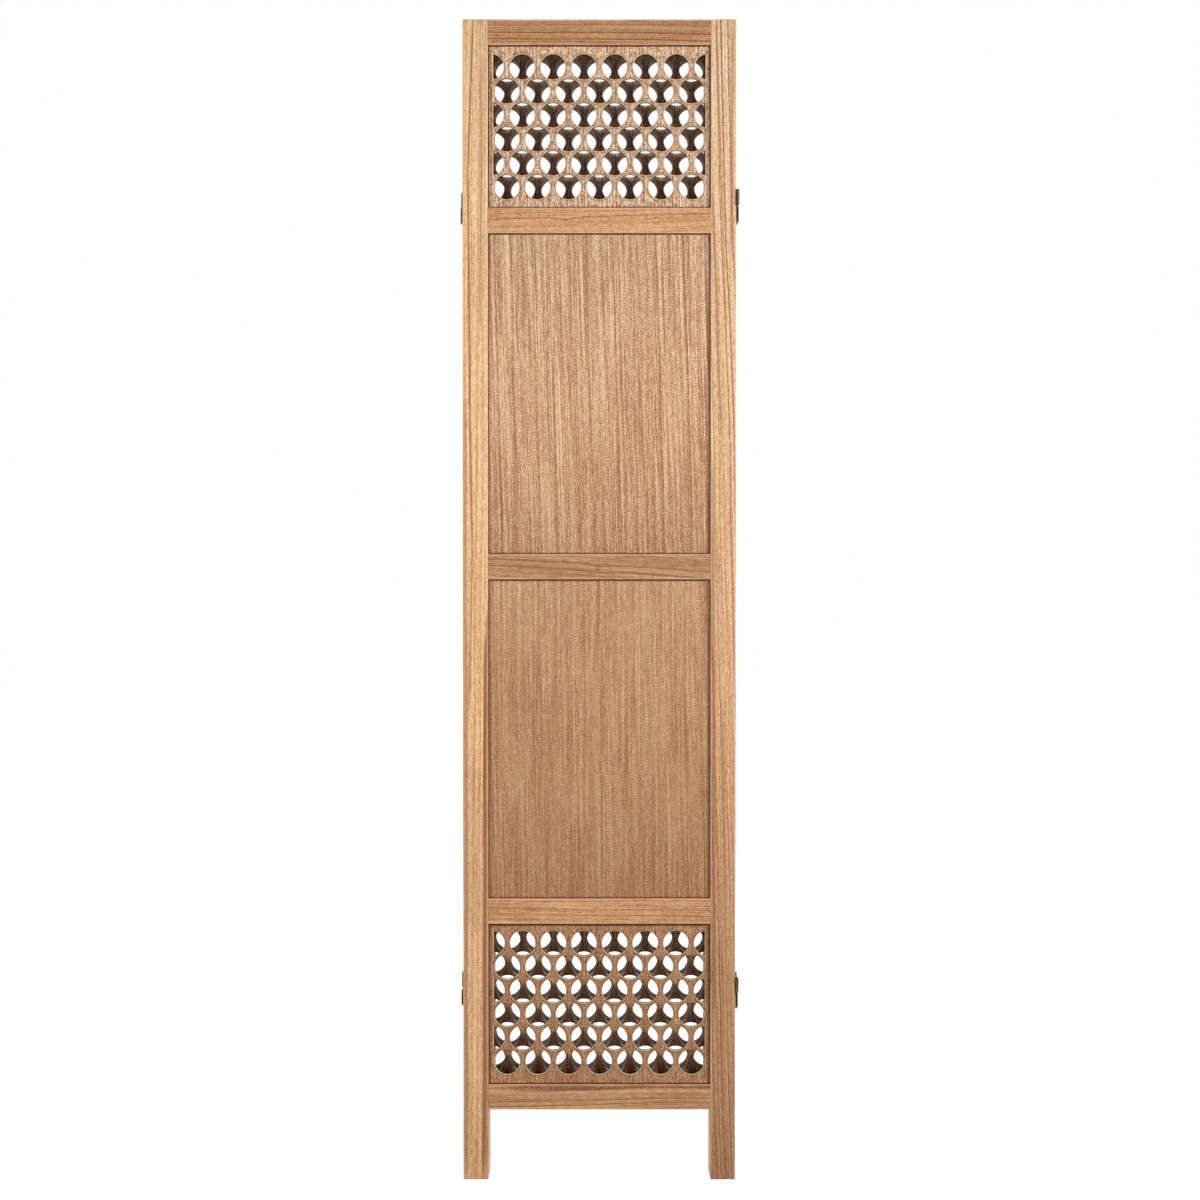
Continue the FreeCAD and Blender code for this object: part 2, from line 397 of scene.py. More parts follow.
@dataclass(frozen=True)
class Member:
    """Box and fibre direction of one wooden piece.

    Attributes:
        low: Lowest corner.
        high: Highest corner.
        grain: Direction of the fibres.
    """

    low: Point
    high: Point
    grain: Grain

    THROUGH_AXIS = 1

    @property
    def middle(self) -> Point:
        """Middle of the box."""
        return tuple((low + high) / 2 for low, high in zip(self.low, self.high))

    def half(self, axis: int) -> float:
        """Half the box's size along one axis."""
        return (self.high[axis] - self.low[axis]) / 2

    @property
    def across_axis(self) -> int:
        """Axis that runs across the fibres in the panel's face: 0 for X, 2 for Z."""
        return 0 if self.grain is Grain.VERTICAL else 2

    @property
    def along_axis(self) -> int:
        """Axis along the fibres."""
        return 2 - self.across_axis

    def spot(self, graph: Graph) -> Spot:
        """Measures the place on the member from its middle.

        Args:
            graph: Node tree of the material.

        Returns:
            The place.
        """
        parts = graph.parts(graph.place())
        order = (self.across_axis, self.THROUGH_AXIS, self.along_axis)
        return Spot(graph, *(graph.minus(parts[axis], self.middle[axis]) for axis in order))


@dataclass(frozen=True)
class Row:
    """Every other row of a lattice's round holes.

    Attributes:
        height: How far above the lattice's middle the highest of these rows lies.
        rows: Number of these rows.
        has_middle_hole: Whether a hole stands at the middle of each row, or else a web.
    """

    height: float
    rows: int
    has_middle_hole: bool


@dataclass(frozen=True)
class Holes:
    """Pattern of a lattice's holes.

    Attributes:
        pitch: Distance of neighbouring holes of a row.
        row_pitch: Distance of neighbouring rows.
        radius: Radius of a hole.
        rim: Width of the broken edge round a hole.
        reach: Half the width of the pierced field, which cuts the half holes at its sides.
    """

    pitch: float
    row_pitch: float
    radius: float
    rim: float
    reach: float

    def distance(self, row: Row, spot: Spot) -> Socket:
        """Distance of a place from the edge of the nearest hole of every other row.

        Args:
            row: The rows.
            spot: Place on the lattice.

        Returns:
            The distance, which is above 0 outside the hole.
        """
        graph = spot.graph
        start = 0.0 if row.has_middle_hole else 0.5
        column = graph.math("ROUND", graph.scaled(spot.across, 1 / self.pitch, start))
        from_hole = graph.scaled(graph.minus(column, start), -self.pitch, spot.across)
        down = graph.math("DIVIDE", graph.minus(row.height, spot.along), 2 * self.row_pitch)
        number = graph.math("MINIMUM", graph.math("MAXIMUM", graph.math("ROUND", down), 0.0), row.rows - 1.0)
        from_row = graph.scaled(number, 2 * self.row_pitch, graph.minus(spot.along, row.height))
        return graph.minus(graph.length(from_hole, from_row), self.radius)


@dataclass(frozen=True)
class ShadedOpening:
    """Painted shade along the edges of an opening: a dark brown line where its board dips into the frame.

    Attributes:
        half_across: Half the opening's size across the board's fibres.
        half_along: Half its size along them.
        middle_along: How far the opening's middle lies above the board's.
        rows: Rows of holes in it, if it is a lattice's.
    """

    half_across: float
    half_along: float
    middle_along: float
    rows: tuple[Row, ...] = ()

    # Colour, strongest share and width of the painted shade line
    SHADE_BROWN = srgb(78, 36, 22)
    SHARE = 0.88
    WIDTH = 0.0027

    def paint_edge_shade(self, colour: Socket, spot: Spot) -> Socket:
        """Paints shade: browns the board in a dark line near the edges of the opening.

        Args:
            colour: Colour so far.
            spot: Place on the board.

        Returns:
            The colour with its dark line.
        """
        graph = spot.graph
        in_side = graph.minus(self.half_across, graph.absolute(spot.across))
        in_end = graph.minus(self.half_along, graph.absolute(graph.minus(spot.along, self.middle_along)))
        inside = graph.math("MINIMUM", in_side, in_end)
        # Painted shade: a dark brown line along the opening's edges, where the board dips into the frame
        return graph.mix(graph.step(inside, self.WIDTH / 2, self.WIDTH, self.SHARE, 0.0), colour, self.SHADE_BROWN)


@dataclass(frozen=True)
class Timber:
    """Finish of one kind of wooden member: a solid figure of growth rings, fibres, pores and flecks.

    Attributes:
        early: Colour of the pale earlywood.
        late: Colour of the dark latewood lines.
        spring: Colour of pale strokes and of the first wood of a ring, just beyond the dark line.
        stroke: Colour of dark strokes.
        patch: Colour that wide patches lean to.
        ring_width: Mean width of a growth ring.
        line: Strength of the latewood lines.
        dotting: How far pores break the lines up into dots.
        fibre: Depth of the fine streaks along the fibres.
        band: Depth of the wider streaks along the fibres.
        dash: Depth of the short strokes along the fibres.
        fleck: Depth of the fine speckle.
        ripple: Depth of the curl, fine bars across the fibres.
        patchiness: Share of the patch colour at its strongest.
        wander: How far the rings stray from straight.
    """

    early: Colour
    late: Colour
    spring: Colour
    stroke: Colour
    patch: Colour
    ring_width: float
    line: float
    dotting: float
    fibre: float
    band: float
    dash: float
    fleck: float
    ripple: float
    patchiness: float
    wander: float

    ROUGHNESS = 0.52
    POLISH = 0.12
    RELIEF = 0.00012
    LACQUER = {"Specular IOR Level": 0.5, "IOR": 1.48}

    def material(self, name: str, member: Member, cut: Cut, shaded_opening: Optional[ShadedOpening]) -> bpy.types.Material:
        """Makes the material of one member.

        Args:
            name: Name of the material.
            member: Box and fibre direction of the member.
            cut: Where it was cut from its log.
            shaded_opening: Edges of the opening that the member fills, or None.

        Returns:
            The material.
        """
        graph = Graph(bpy.data.materials.new(name))
        figure = Figure(graph, self, member, cut)
        colour, height = figure.wood()
        roughness = graph.scaled(height, -self.POLISH, self.ROUGHNESS)
        return graph.surface(self.edged(figure, colour, shaded_opening), roughness, height, self.RELIEF, self.LACQUER)

    def edged(self, figure: "Figure", colour: Socket, shaded_opening: Optional[ShadedOpening]) -> Socket:
        """Colour with the painted shade along the edges of the opening that the member fills, or else with
        worn arrises that also hold a painted highlight.
        """
        return shaded_opening.paint_edge_shade(colour, figure.spot) if shaded_opening else figure.worn_edges_and_highlight(colour)


@dataclass
class Figure:
    """Drawing of one member's solid wood in the node tree of its material.

    Attributes:
        graph: Node tree of the material.
        timber: Finish of the member.
        member: Box and fibre direction of the member.
        cut: Where it was cut from its log.
    """

    graph: Graph
    timber: Timber
    member: Member
    cut: Cut

    # Fineness of each of the wood's marks
    BENDS = Cells(3.0, 1.6, 1.0)
    SWAYS = Cells(24.0, 7.0, 2.0)
    PORES = Cells(420.0, 210.0, 1.0)
    PATCHES = Cells(22.0, 5.0, 2.0)
    FIBRES = Cells(560.0, 7.0, 2.0)
    DASHES = Cells(620.0, 90.0, 0.0)
    FLECKS = Cells(640.0, 460.0, 0.0)
    BANDS = Cells(150.0, 3.0, 3.0)
    CURL_BENDS = Cells(60.0, 20.0, 1.0)
    CURL_PATCHES = Cells(34.0, 9.0, 1.0)
    RUBBED_SPOTS = Cells(60.0, 25.0, 2.0)

    # Values of a noise between which its marks come in
    PORE_EDGE = (0.44, 0.58)
    PATCH_EDGE = (0.38, 0.62)
    CURL_EDGE = (0.47, 0.62)
    RUBBED_EDGE = (0.35, 0.6)

    # Shares of a ring's width between which its dark line comes and goes, and its pale first wood goes
    LATEWOOD_COMES = (0.72, 0.86)
    LATEWOOD_GOES = (1.0, 0.94)
    SPRINGWOOD_GOES = (0.20, 0.06)
    SPRINGWOOD_SHARE = 0.4
    WEAKEST_RING = 0.25

    # What the seed is divided by through the log, and multiplied by along it and from ring to ring
    SEED_THROUGH = 3
    SEED_ALONG = 7
    SEED_WIDTHS = 31

    # How unevenly the rings grow
    SWELLS_A_RING = 0.55
    SWELL = 0.9
    SWAY_SHARE = 0.5

    # Heights in the relief
    FIBRE_HEIGHT = 0.5
    LINE_DEPTH = 0.6
    FLECK_HEIGHT = 0.25

    # Distances from ends and arrises between which they grow dark or wear, and how far they do. The dark
    # ends are darker end grain and also painted shade at the rounded ends; the pale arrises are worn wood
    # and also a painted highlight.
    END_EDGE = (0.0012, 0.0004)
    END_LIGHT = 0.72
    ARRIS_EDGE = (0.0030, 0.0012)
    ARRIS_SHARES = (0.25, 0.6)
    BARE_WOOD_AND_HIGHLIGHT = srgb(240, 205, 165)

    # Distance of the curl's bars, and how far noise bends them
    CURL_PITCH = 0.0042
    CURL_BENDING = 14.0

    def __post_init__(self) -> None:
        """Measures the place on the member, and the same place in the log, whose fibres slope."""
        graph, seed = self.graph, self.cut.seed
        self.spot = self.member.spot(graph)
        self.across_log = graph.scaled(self.spot.along, self.cut.slope, self.spot.across)
        self.place = graph.vector(graph.add(self.across_log, seed),
                                  graph.add(self.spot.through, seed / self.SEED_THROUGH),
                                  graph.add(self.spot.along, seed * self.SEED_ALONG))

    def marks(self, cells: Cells, edge: tuple[float, float]) -> Socket:
        """Share of marks of the given fineness, which come in between two values of their noise."""
        return self.graph.step(self.graph.noise(self.place, cells), *edge)

    def wood(self) -> tuple[Socket, Socket]:
        """Draws the solid wood. Wide patches, pale and dark strokes, the growth lines and the member's own
        streaks are laid over the earlywood in this order.

        Returns:
            The colour and the height.
        """
        graph, timber = self.graph, self.timber
        ring = self.ring()
        part = graph.math("FRACT", ring)
        own_strength = self.own_strength(ring)
        line = graph.times(self.latewood(part), own_strength)
        pores = self.marks(self.PORES, self.PORE_EDGE)
        line = graph.times(line, graph.scaled(pores, timber.dotting, 1 - timber.dotting))
        fibre = graph.noise(self.place, self.FIBRES)
        fleck = graph.noise(self.place, self.FLECKS)
        springwood = graph.times(graph.step(part, *self.SPRINGWOOD_GOES), own_strength)
        strokes = self.strokes(fibre, fleck, springwood)
        patch = graph.times(self.marks(self.PATCHES, self.PATCH_EDGE), timber.patchiness)
        colour = graph.mix(patch, timber.early, timber.patch)
        colour = graph.mix(graph.step(strokes, 0.0, 1.0), colour, timber.spring)
        colour = graph.mix(graph.step(strokes, 0.0, -1.0), colour, timber.stroke)
        colour = graph.mix(graph.times(line, timber.line * self.cut.lines), colour, timber.late)
        for streak in self.cut.streaks:
            colour = graph.mix(streak.brown(self.spot), colour, timber.late)
        height = graph.minus(graph.times(fibre, self.FIBRE_HEIGHT), graph.times(line, self.LINE_DEPTH))
        return self.toned(colour), graph.scaled(fleck, self.FLECK_HEIGHT, height)

    def ring(self) -> Socket:
        """Finds the growth ring: the distance from the log's wandering middle, divided by the ring width,
        with rings of uneven width.

        Returns:
            The ring's number, whose fraction is the place within the ring.
        """
        graph, wander = self.graph, self.timber.wander
        bend = graph.noise(self.place, self.BENDS)
        sway = wander * self.SWAY_SHARE
        shift = graph.scaled(bend, 2 * wander, -wander)
        shift = graph.add(shift, graph.scaled(graph.noise(self.place, self.SWAYS), sway, -sway / 2))
        for knot in self.cut.knots:
            shift = graph.add(shift, knot.push(self.spot))
        from_pith = graph.minus(graph.add(self.across_log, shift), self.cut.pith_across)
        into_log = graph.minus(graph.scaled(bend, wander, self.spot.through), self.cut.pith_through)
        even = graph.math("DIVIDE", graph.length(from_pith, into_log), self.timber.ring_width)
        inputs = {"W": graph.add(even, self.cut.seed * self.SEED_WIDTHS), "Scale": self.SWELLS_A_RING}
        swell = graph.node("TexNoise", inputs, noise_dimensions="1D").outputs["Fac"]
        return graph.scaled(swell, self.SWELL, even)

    def own_strength(self, ring: Socket) -> Socket:
        """Draws the strength of each ring's line by chance.

        Args:
            ring: Number of the ring.

        Returns:
            The strength, at most 1.
        """
        graph = self.graph
        number = graph.add(graph.math("FLOOR", ring), self.cut.seed)
        own = graph.node("TexWhiteNoise", {"W": number}, noise_dimensions="1D").outputs["Value"]
        return graph.scaled(own, 1 - self.WEAKEST_RING, self.WEAKEST_RING)

    def latewood(self, part: Socket) -> Socket:
        """Share of the dark line at the end of a ring, from the place within the ring."""
        come, gone = (self.graph.step(part, *edge) for edge in (self.LATEWOOD_COMES, self.LATEWOOD_GOES))
        return self.graph.times(come, gone)

    def strokes(self, fibre: Socket, fleck: Socket, springwood: Socket) -> Socket:
        """Sums up the noises of fibres, dashes and flecks about their mean, and the pale springwood.

        Args:
            fibre: Noise of the fibres.
            fleck: Noise of the flecks.
            springwood: Share of the ring's pale first wood.

        Returns:
            The sum, above 0 in pale strokes and below 0 in dark ones.
        """
        graph, timber = self.graph, self.timber
        gain = graph.NOISE_GAIN
        mean = gain / 2 * (timber.fibre + timber.dash + timber.fleck)
        strokes = graph.scaled(fibre, gain * timber.fibre, -mean)
        strokes = graph.scaled(graph.noise(self.place, self.DASHES), gain * timber.dash, strokes)
        strokes = graph.scaled(fleck, gain * timber.fleck, strokes)
        strokes = graph.scaled(springwood, self.SPRINGWOOD_SHARE * timber.line, strokes)
        return graph.times(strokes, self.cut.contrast)

    def toned(self, colour: Socket) -> Socket:
        """Gives the wood its bands, curl, knots' eyes and dark ends, and the member's own shade. The dark
        ends are also painted shade, and the member's shade holds painted light: paler in the middle and
        towards one end, browner towards the lower or left end.

        Args:
            colour: Colour so far.

        Returns:
            The colour in its shade.
        """
        graph, cut, along = self.graph, self.cut, self.spot.along
        half = self.member.half(self.member.along_axis)
        begin, full = (half - edge for edge in self.END_EDGE)
        light = graph.about_one(graph.noise(self.place, self.BANDS), self.timber.band)
        light = graph.times(light, self.curl())
        for knot in cut.knots:
            light = graph.times(light, knot.eye(self.spot))
        # Dark ends: darker end grain, and also painted shade at the rounded ends
        light = graph.times(light, graph.step(graph.absolute(along), begin, full, 1.0, self.END_LIGHT))
        share = graph.times(along, 1 / half)
        # Painted light and shade: paler in the middle and towards one end
        tone = graph.scaled(share, cut.painted_light_lean, 1 + cut.painted_light_bow / 2)
        tone = graph.scaled(graph.times(share, share), -cut.painted_light_bow, tone)
        light = graph.times(light, graph.times(tone, cut.tone))
        red, green, blue = graph.parts(graph.stretch(colour, cut.tint))
        # Painted shade: browner towards the lower or left end
        green = graph.times(green, graph.scaled(share, cut.painted_shade_warmth / 2, 1.0))
        blue = graph.times(blue, graph.scaled(share, cut.painted_shade_warmth, 1.0))
        return graph.shade(graph.vector(red, green, blue), light)

    def curl(self) -> Socket:
        """Draws fine bars across the fibres, in patches: a sine of the place along them, bent by noise.

        Returns:
            Factor on the light, about 1.
        """
        graph = self.graph
        turns = graph.times(self.spot.along, 2 * math.pi / self.CURL_PITCH)
        bent = graph.scaled(graph.noise(self.place, self.CURL_BENDS), self.CURL_BENDING, turns)
        bars = graph.times(graph.math("SINE", bent), self.marks(self.CURL_PATCHES, self.CURL_EDGE))
        return graph.scaled(bars, self.timber.ripple * self.cut.curl, 1.0)

    def worn_edges_and_highlight(self, colour: Socket) -> Socket:
        """Rubs the arrises pale, where a place lies near both a face and a side of the bar: worn wood, and
        also a painted highlight along the edges.

        Args:
            colour: Colour so far.

        Returns:
            The colour with its worn edges.
        """
        graph, spot, member = self.graph, self.spot, self.member
        in_side = graph.minus(member.half(member.across_axis), graph.absolute(spot.across))
        in_face = graph.minus(member.half(member.THROUGH_AXIS), graph.absolute(spot.through))
        near = graph.step(graph.add(in_side, in_face), *self.ARRIS_EDGE)
        rub = graph.noise(spot.vector(), self.RUBBED_SPOTS)
        near = graph.times(near, graph.step(rub, *self.RUBBED_EDGE, *self.ARRIS_SHARES))
        # Pale arrises: worn wood, and also a painted highlight along the edges
        return graph.mix(near, colour, self.BARE_WOOD_AND_HIGHLIGHT)


@dataclass(frozen=True)
class PiercedTimber(Timber):
    """Timber of a lattice, with burnt walls and a pale broken edge to its holes. The walls' dark brown is
    also painted shade, and the pale edge also a painted highlight. It is left almost unglossed, so that the
    lattices behind it stay dark."""

    POLISH = 0.0
    LACQUER = {"Specular IOR Level": 0.15, "IOR": 1.48}
    SOOT = Cells(420.0, 420.0, 2.0)
    # Burnt wall colours, also painted shade inside the holes
    BURNT_AND_SHADED = (srgb(30, 14, 10), srgb(70, 38, 24))
    # Pale rim colours, also a painted highlight
    RIM = (srgb(226, 190, 148), srgb(246, 220, 186))

    # Depths below the face between which the rim and the burnt wall come in; the wall's dark brown is also
    # painted shade
    RIM_COMES = (0.00004, 0.00014)
    WALL_COMES = (0.00066, 0.00082)

    # Distances from the rim between which the scorched line comes and goes and the bare rim goes; the bare
    # rim is pale wood and also a painted highlight
    SCORCH_COMES = (0.0005, 0.0009)
    SCORCH_GOES = (0.0022, 0.0016)
    SCORCH_DEPTH = 0.38
    BARE_GOES = (0.0006, 0.0002)
    BARE_SHARE = 0.8
    FIELD_SOFTNESS = 0.0002

    def edged(self, figure: Figure, colour: Socket, shaded_opening: ShadedOpening) -> Socket:
        """Draws the painted shade line of the opening, and the holes' edges. A place deeper in the board
        than its chamfered rim lies on a hole's wall, which the cutter burnt and whose dark brown is also
        painted shade.
        The rim shows the bare pale core, also painted as a highlight all round, and a fine scorched line
        runs round it on both faces.

        Args:
            figure: Figure of the lattice's wood.
            colour: Colour so far.
            shaded_opening: Edges of the opening that the lattice fills.

        Returns:
            The colour with its edges.
        """
        graph, spot, member = figure.graph, figure.spot, figure.member
        soot = graph.noise(spot.vector(), self.SOOT)
        rim = graph.mix(soot, *self.RIM)
        colour = self.scorched(shaded_opening.paint_edge_shade(colour, spot), rim, shaded_opening, spot)
        depth = graph.minus(member.half(member.THROUGH_AXIS), graph.absolute(spot.through))
        # The chamfered rim: bare pale wood, and also a painted highlight all round the hole
        colour = graph.mix(graph.step(depth, *self.RIM_COMES), colour, rim)
        # The hole's wall: burnt by the cutter, and its dark brown also painted shade inside the hole
        return graph.mix(graph.step(depth, *self.WALL_COMES), colour, graph.mix(soot, *self.BURNT_AND_SHADED))

    def scorched(self, colour: Socket, rim: Socket, shaded_opening: ShadedOpening, spot: Spot) -> Socket:
        """Draws the scorched line, and the bare rim round the holes, which is also a painted highlight.

        Args:
            colour: Colour so far.
            rim: Colour of the bare rim.
            shaded_opening: Edges of the opening, with its rows of holes.
            spot: Place on the lattice.

        Returns:
            The colour with both.
        """
        graph, soft = spot.graph, self.FIELD_SOFTNESS
        in_field = graph.step(graph.absolute(spot.across), HOLES.reach + soft, HOLES.reach - soft)
        even, odd = (HOLES.distance(row, spot) for row in shaded_opening.rows)
        away = graph.minus(graph.math("MINIMUM", even, odd), HOLES.rim)
        scorch = graph.times(graph.step(away, *self.SCORCH_COMES), graph.step(away, *self.SCORCH_GOES))
        colour = graph.shade(colour, graph.scaled(graph.times(scorch, in_field), -self.SCORCH_DEPTH, 1.0))
        bare = graph.times(graph.step(away, *self.BARE_GOES), in_field)
        # A thin bare band just outside the rim, pale wood that is also a painted highlight
        return graph.mix(graph.times(bare, self.BARE_SHARE), colour, rim)


@dataclass(frozen=True)
class PlatedMetal:
    """Plated steel, dulled and rubbed through to a brighter colour in places.

    Attributes:
        plate: Colour of the plating.
        rubbed: Colour where hands and the other leaf have rubbed it.
        roughness: Roughness of the dull parts.
    """

    plate: Colour
    rubbed: Colour
    roughness: float

    METAL = {"Metallic": 1.0}
    RELIEF = 0.00004
    CLOUDS = Cells(190.0, 60.0, 2.0)
    SCRATCHES = Cells(2200.0, 240.0, 2.0)
    SCRATCH_SHARE = 0.25
    SCRATCH_DEPTH = 0.12
    WEAR_EDGE = (0.50, 0.90)
    POLISH = 0.14

    def material(self, name: str) -> bpy.types.Material:
        """Makes the material.

        Args:
            name: Name of the material.

        Returns:
            The material.
        """
        graph = Graph(bpy.data.materials.new(name))
        place = graph.place()
        cloud = graph.noise(place, self.CLOUDS)
        scratches = graph.noise(place, self.SCRATCHES)
        wear = graph.step(graph.add(cloud, graph.times(scratches, self.SCRATCH_SHARE)), *self.WEAR_EDGE)
        colour = graph.mix(wear, self.plate, self.rubbed)
        colour = graph.shade(colour, graph.about_one(scratches, self.SCRATCH_DEPTH))
        roughness = graph.scaled(wear, -self.POLISH, self.roughness)
        return graph.surface(colour, roughness, graph.add(scratches, cloud), self.RELIEF, self.METAL)


STILE_TIMBER = Timber(
    early=srgb(230, 182, 134), late=srgb(136, 74, 34), spring=srgb(252, 218, 176),
    stroke=srgb(180, 126, 80), patch=srgb(222, 170, 124), ring_width=0.0062, line=0.90, dotting=0.40,
    fibre=0.36, band=0.06, dash=0.24, fleck=0.34, ripple=0.05, patchiness=0.7, wander=0.005)
RAIL_TIMBER = Timber(
    early=srgb(216, 160, 112), late=srgb(120, 68, 34), spring=srgb(238, 192, 144),
    stroke=srgb(164, 110, 68), patch=srgb(202, 144, 100), ring_width=0.0042, line=0.95, dotting=0.30,
    fibre=0.40, band=0.10, dash=0.24, fleck=0.24, ripple=0.03, patchiness=0.7, wander=0.006)
BOARD_TIMBER = Timber(
    early=srgb(224, 176, 138), late=srgb(124, 68, 30), spring=srgb(252, 222, 186),
    stroke=srgb(166, 114, 76), patch=srgb(206, 150, 114), ring_width=0.0078, line=1.0, dotting=0.55,
    fibre=0.50, band=0.04, dash=0.20, fleck=0.46, ripple=0.09, patchiness=0.7, wander=0.004)
LATTICE_TIMBER = PiercedTimber(
    early=srgb(222, 174, 134), late=srgb(118, 68, 34), spring=srgb(250, 220, 186),
    stroke=srgb(160, 110, 72), patch=srgb(210, 158, 124), ring_width=0.0050, line=1.0, dotting=0.55,
    fibre=0.42, band=0.05, dash=0.40, fleck=0.50, ripple=0.03, patchiness=0.6, wander=0.002)
HINGE_PLATE = PlatedMetal(plate=srgb(62, 53, 41), rubbed=srgb(104, 91, 67), roughness=0.40)
SCREW_PLATE = PlatedMetal(plate=srgb(98, 84, 62), rubbed=srgb(160, 143, 108), roughness=0.32)

RIFT_SAWN = Sawing(across=(0.06, 0.12), through=(0.05, 0.12))
FLAT_SAWN = Sawing(across=(0.005, 0.04), through=(0.03, 0.06))
QUARTER_SAWN = Sawing(across=(0.5, 0.9), through=(0.1, 0.2))

HOLE_DIAMETER = 0.0365
ROW_WEB = 0.0086
DIAGONAL_WEB = 0.0051
ROW_COUNT = 6
HOLE_PITCH = HOLE_DIAMETER + ROW_WEB
ROW_PITCH = math.sqrt((HOLE_DIAMETER + DIAGONAL_WEB) ** 2 - (HOLE_PITCH / 2) ** 2)
HOLES = Holes(pitch=HOLE_PITCH, row_pitch=ROW_PITCH, radius=HOLE_DIAMETER / 2, rim=0.0008, reach=0.155)

# How far the holes of a lower lattice stand above the middle of their opening
FRONT_RISE = 0.0018
FLIPPED_RISE = 0.0034


def dress(name: str, material: bpy.types.Material) -> None:
    """Puts a material on every slot of a node.

    Args:
        name: Name of the node.
        material: The material.
    """
    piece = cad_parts[name]
    if not piece.material_slots:
        piece.data.materials.append(material)
    for slot in piece.material_slots:
        slot.material = material
    log.info("dressed %s with %s", name, material.name)


@dataclass
class Panel:
    """One panel of the screen: its frame, its boards, its lattices and its screws.

    Attributes:
        number: 1 for the front panel to 4 for the last one.
        cuts: Cuts of the front panel's wooden pieces by name.
    """

    number: int
    cuts: dict[str, Cut]

    STILES = ("left_stile", "right_stile")
    RAILS = ("top_rail", "upper_rail", "middle_rail", "lower_rail", "bottom_rail")
    INFILLS = ("upper_lattice", "upper_board", "lower_board", "lower_lattice")
    LATTICES = ("upper_lattice", "lower_lattice")

    SEED_FACTOR = 1000
    SEED_RANGE = (1.0, 9.0)
    SHADE_RANGE = (0.96, 1.03)

    @property
    def is_front(self) -> bool:
        """Whether this is the panel that faces the camera."""
        return self.number == 1

    def node(self, part: str) -> str:
        """Name of the node of one of the panel's pieces."""
        return f"panel_{self.number}_{part}"

    def cut(self, part: str, sawing: Sawing) -> Cut:
        """Cut of a piece: the front panel's own, or for the others one of the same shade that is drawn by
        chance, the same in every run. The others keep the front piece's tint and its painted light and
        shade:
        the paler middle and ends, the browner end, and the lower pieces' darker tone.

        Args:
            part: Name of the piece.
            sawing: Way in which its log is sawn.

        Returns:
            The cut.
        """
        given = self.cuts[part]
        if self.is_front:
            return given
        order = (*self.STILES, *self.RAILS, *self.INFILLS)
        draw = np.random.default_rng(self.SEED_FACTOR * self.number + order.index(part))
        side = draw.choice((-1.0, 1.0))
        return replace(given, pith_across=float(side * draw.uniform(*sawing.across)),
                       pith_through=float(draw.uniform(*sawing.through)),
                       seed=float(draw.uniform(*self.SEED_RANGE)),
                       tone=given.tone * float(draw.uniform(*self.SHADE_RANGE)), streaks=(), knots=())

    def opening(self, part: str, member: Member) -> ShadedOpening:
        """Edges of the opening that a board or lattice fills, from the stiles and rails round it.

        Args:
            part: Name of the board or lattice.
            member: Its box.

        Returns:
            The opening.
        """
        above = self.INFILLS.index(part)
        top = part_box(self.node(self.RAILS[above]))[0][2]
        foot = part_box(self.node(self.RAILS[above + 1]))[1][2]
        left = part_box(self.node("left_stile"))[1][0]
        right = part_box(self.node("right_stile"))[0][0]
        lift = (top + foot) / 2 - member.middle[2]
        rows = self.hole_rows(part, lift) if part in self.LATTICES else ()
        return ShadedOpening(abs(right - left) / 2, (top - foot) / 2, lift, rows)

    def hole_rows(self, part: str, lift: float) -> tuple[Row, Row]:
        """The two sets of rows of a lattice's holes. The front panel's highest row has half holes at its
        ends and so a web at its middle; the other panels' lattices are mounted the other way up.

        Args:
            part: Name of the lattice.
            lift: How far the opening's middle lies above the lattice's.

        Returns:
            The first, third and fifth row, and the second, fourth and sixth.
        """
        top = lift + (ROW_COUNT - 1) * HOLES.row_pitch / 2
        if part == "lower_lattice":
            top += FRONT_RISE if self.is_front else FLIPPED_RISE
        half = ROW_COUNT // 2
        return Row(top, half, not self.is_front), Row(top - HOLES.row_pitch, half, self.is_front)

    def dress_member(self, part: str, timber: Timber, grain: Grain, sawing: Sawing) -> None:
        """Gives one wooden piece its own cut of a timber.

        Args:
            part: Name of the piece.
            timber: The timber.
            grain: Direction of its fibres.
            sawing: Way in which its log is sawn.
        """
        low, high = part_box(self.node(part))
        member = Member(tuple(low), tuple(high), grain)
        shaded_opening = self.opening(part, member) if part in self.INFILLS else None
        material = timber.material(f"timber_{self.node(part)}", member, self.cut(part, sawing), shaded_opening)
        dress(self.node(part), material)

    def build(self, screw_material: bpy.types.Material) -> None:
        """Dresses the panel: rift-sawn stiles, flat-sawn rails with level fibres, quarter-sawn boards and
        lattices, and the hinge screws.

        Args:
            screw_material: Material of the hinge screws.
        """
        for part in self.STILES:
            self.dress_member(part, STILE_TIMBER, Grain.VERTICAL, RIFT_SAWN)
        for part in self.RAILS:
            self.dress_member(part, RAIL_TIMBER, Grain.HORIZONTAL, FLAT_SAWN)
        for part in self.INFILLS:
            timber = LATTICE_TIMBER if part in self.LATTICES else BOARD_TIMBER
            self.dress_member(part, timber, Grain.VERTICAL, QUARTER_SAWN)
        dress(self.node("hinge_screws"), screw_material)


@dataclass
class Hinges:
    """The two hinges between a pair of neighbouring panels.

    Attributes:
        first: Number of the first panel of the pair.
    """

    first: int

    PARTS = ("first_leaves", "second_leaves", "links", "pins")

    def build(self, plate: bpy.types.Material) -> None:
        """Dresses leaves, links and pins with the material of the plated metal."""
        for part in self.PARTS:
            dress(f"hinge_{self.first}_{self.first + 1}_{part}", plate)


